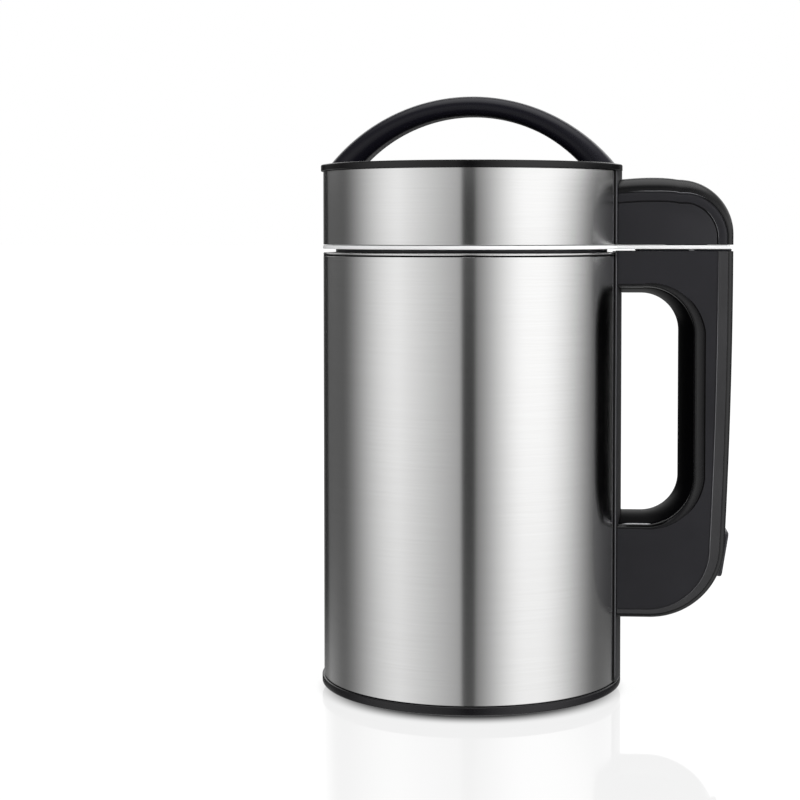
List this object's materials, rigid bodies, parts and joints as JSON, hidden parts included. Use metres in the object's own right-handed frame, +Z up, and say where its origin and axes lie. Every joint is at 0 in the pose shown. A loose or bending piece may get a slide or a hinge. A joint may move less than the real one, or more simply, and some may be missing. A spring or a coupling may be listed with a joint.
{
  "type": "soy milk maker",
  "caption": "Cylindrical stainless soy milk maker with a black cup handle and a lift-off motor head with an arched carry handle, cap and trim ring.",
  "frame": {"origin": "the cup's axis at the flat underside it stands on", "axes": "+Z up along the cup's axis, +X towards the cup handle, -Y towards the side with the buttons"},
  "size_m": [0.2258, 0.1664, 0.3275],
  "materials": {
    "brushed_steel": "brushed round the body",
    "polished_steel": "polished",
    "plain_steel": "plain zinc-plated",
    "bare_aluminium": "cast",
    "laminations": "varnished sheet stack",
    "copper": "enamelled",
    "black_plastic": "satin",
    "button_plastic": "satin",
    "black_gloss": "gloss",
    "pale_trim": "gloss",
    "dark_rubber": "matt",
    "pale_rubber": "matt",
    "board": "solder mask"
  },
  "bodies": {
    "cup": {"base_plate": "black_plastic", "grip_ring": "dark_rubber", "base_cover": "black_plastic", "base_screw_1": "plain_steel", "base_screw_2": "plain_steel", "base_screw_3": "plain_steel", "inner_pot": "polished_steel", "heat_spreader": "bare_aluminium", "thermostat": "plain_steel", "heating_ring": "plain_steel", "body_shell": "brushed_steel", "handle_flange": "black_plastic", "flange_screw_upper": "plain_steel", "flange_screw_lower": "plain_steel", "inlet_bezel": "black_plastic", "power_inlet": "black_gloss", "handle_spine": "black_plastic", "handle_cover_front": "black_plastic", "handle_cover_back": "black_plastic", "grip_insert": "black_gloss", "handle_screw_upper": "plain_steel", "handle_screw_lower": "plain_steel", "coupler_socket": "black_plastic", "heater_lead": "pale_rubber"},
    "head": {"trim_plate": "pale_trim", "head_base": "black_plastic", "head_ring": "brushed_steel", "cap_flange": "black_plastic", "neck": "polished_steel", "neck_seal": "pale_rubber", "shaft_seal": "dark_rubber", "top_cover": "black_plastic", "control_panel": "black_gloss", "carry_handle": "black_plastic", "cap_frame": "black_plastic", "cap_cover_front": "black_plastic", "cap_cover_back": "black_plastic", "coupler_plug": "black_plastic", "temperature_probe": "polished_steel", "level_probe": "polished_steel", "motor_bracket_lower": "bare_aluminium", "motor_bracket_upper": "bare_aluminium", "bearing_lower": "plain_steel", "bearing_upper": "plain_steel", "motor_stator": "laminations", "field_coil_1": "copper", "field_coil_2": "copper", "blade_guard": "polished_steel", "control_board": "board", "keypad": "pale_rubber", "power_board": "board"},
    "rotor": {"motor_shaft": "plain_steel", "armature": "laminations", "commutator": "copper", "cooling_fan": "black_plastic", "blade": "polished_steel", "blade_nut": "polished_steel"},
    "button_left": {"button_1": "button_plastic"},
    "button_middle": {"button_2": "button_plastic"},
    "button_right": {"button_3": "button_plastic"}
  },
  "joints": [
    {"name": "head_lift", "type": "slide", "parent": "cup", "child": "head", "axis": [0, 0, 1], "range_m": [0, 0.2]},
    {"name": "rotor_spin", "type": "hinge", "parent": "head", "child": "rotor", "pos_m": [0, 0, 0.1], "axis": [0, 0, 1], "continuous": true},
    {"name": "button_left_press", "type": "slide", "parent": "head", "child": "button_left", "axis": [0, 0, -1], "range_m": [0, 0.001], "stiffness_N_per_m": 400, "deforming": ["keypad"]},
    {"name": "button_middle_press", "type": "slide", "parent": "head", "child": "button_middle", "axis": [0, 0, -1], "range_m": [0, 0.001], "stiffness_N_per_m": 400, "deforming": ["keypad"]},
    {"name": "button_right_press", "type": "slide", "parent": "head", "child": "button_right", "axis": [0, 0, -1], "range_m": [0, 0.001], "stiffness_N_per_m": 400, "deforming": ["keypad"]}
  ]
}
